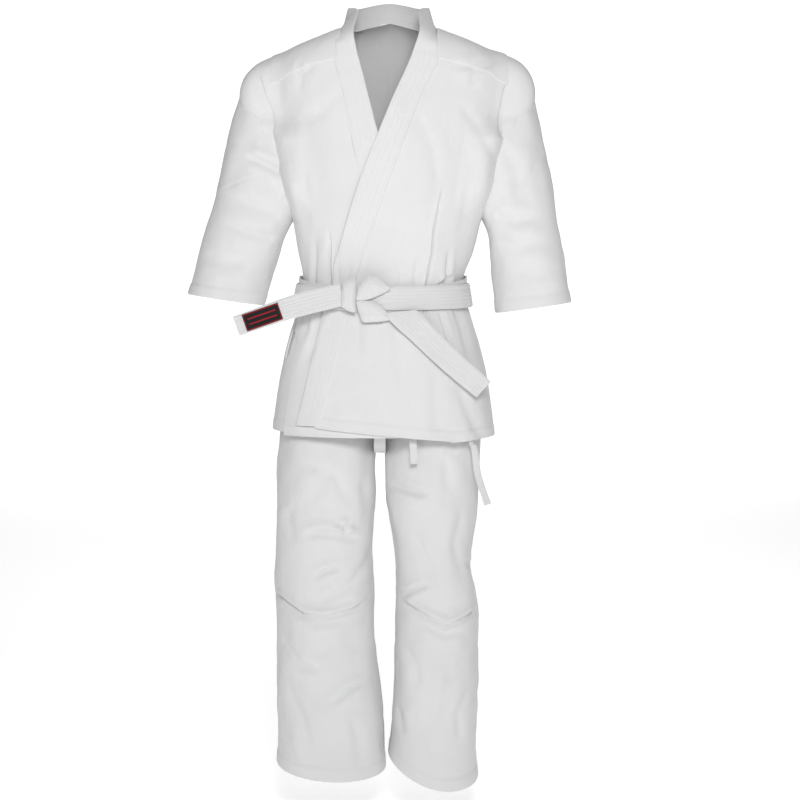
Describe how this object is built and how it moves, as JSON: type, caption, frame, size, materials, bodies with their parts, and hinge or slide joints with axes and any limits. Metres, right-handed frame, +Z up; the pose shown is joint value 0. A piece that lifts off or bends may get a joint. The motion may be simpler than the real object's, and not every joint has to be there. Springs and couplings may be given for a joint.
{
  "type": "karate uniform",
  "caption": "White cotton karate uniform as worn: crossover jacket with long lapels, a knotted belt with two ends, and drawstring trousers",
  "frame": {"origin": "centre of the neck opening, level with the points where the shoulder seams meet the neck", "axes": "+Z up along the body, the front faces -Y, +X is towards the wearer's left"},
  "size_m": [0.7068, 0.2762, 1.4648],
  "materials": {
    "jacket": "white plain-weave cotton canvas, stitched at seams and hems",
    "trousers": "white plain-weave cotton, slightly softer than the jacket",
    "belt": "white cotton belt, many rows of stitching along it",
    "tape": "narrow white cotton tape",
    "label": "woven label, dark field with a red border and band, no lettering"
  },
  "bodies": {
    "torso": {"jacket_front_left": "jacket", "jacket_front_right": "jacket", "jacket_back_left": "jacket", "jacket_back_right": "jacket", "lapel_left": "jacket", "lapel_right": "jacket", "collar": "jacket", "yoke_left": "jacket", "yoke_right": "jacket", "belt_inner_wrap": "belt", "belt_outer_wrap": "belt", "belt_knot_upper": "belt", "belt_knot_lower": "belt", "belt_knot_loop": "belt", "tie_left_inner": "tape", "drawstring_left": "tape", "drawstring_right": "tape", "trouser_seat_front": "trousers", "trouser_seat_back": "trousers", "waistband_front": "trousers", "waistband_back": "trousers", "crotch_gusset": "trousers"},
    "arm_left": {"sleeve_left": "jacket"},
    "arm_right": {"sleeve_right": "jacket"},
    "leg_left": {"trouser_left_front": "trousers", "trouser_left_back": "trousers"},
    "leg_right": {"trouser_right_front": "trousers", "trouser_right_back": "trousers"},
    "belt_end_right": {"belt_tail_right": "belt", "belt_label": "label"},
    "belt_end_left": {"belt_tail_left": "belt"},
    "back_skirt": {"back_skirt_left": "jacket", "back_skirt_right": "jacket"},
    "tie_right": {"tie_right_outer": "tape"},
    "tie_left_end": {"tie_left_inner_end": "tape"},
    "drawstring_end": {"drawstring_left_end": "tape"}
  },
  "joints": [
    {"name": "shoulder_left", "type": "hinge", "parent": "torso", "child": "arm_left", "pos_m": [0.203, 0, -0.112], "axis": [0, -1, 0], "range_deg": [0, 70]},
    {"name": "shoulder_right", "type": "hinge", "parent": "torso", "child": "arm_right", "pos_m": [-0.19, 0, -0.118], "axis": [0, 1, 0], "range_deg": [0, 70]},
    {"name": "hip_left", "type": "hinge", "parent": "torso", "child": "leg_left", "pos_m": [0.094, 0, -0.745], "axis": [0, -1, 0], "range_deg": [0, 20]},
    {"name": "hip_right", "type": "hinge", "parent": "torso", "child": "leg_right", "pos_m": [-0.105, 0, -0.745], "axis": [0, 1, 0], "range_deg": [0, 20]},
    {"name": "belt_end_right_swing", "type": "hinge", "parent": "torso", "child": "belt_end_right", "pos_m": [-0.0728, -0.124, -0.4725], "axis": [0, -1, 0], "range_deg": [-15, 28]},
    {"name": "belt_end_left_lift", "type": "hinge", "parent": "torso", "child": "belt_end_left", "pos_m": [0.0086, -0.1295, -0.519], "axis": [-0.6612, 0, -0.7502], "range_deg": [0, 35]},
    {"name": "back_skirt_lift", "type": "hinge", "parent": "torso", "child": "back_skirt", "pos_m": [0, 0.12, -0.552], "axis": [1, 0, 0], "range_deg": [0, 20]},
    {"name": "tie_right_swing", "type": "hinge", "parent": "torso", "child": "tie_right", "pos_m": [-0.158, -0.036, -0.504], "axis": [0, 1, 0], "range_deg": [0, 35]},
    {"name": "tie_left_swing", "type": "hinge", "parent": "torso", "child": "tie_left_end", "pos_m": [0.158, -0.098, -0.745], "axis": [0, -1, 0], "range_deg": [0, 25]},
    {"name": "drawstring_swing", "type": "hinge", "parent": "torso", "child": "drawstring_end", "pos_m": [0.052, -0.1145, -0.745], "axis": [0, 1, 0], "range_deg": [-25, 25]}
  ]
}
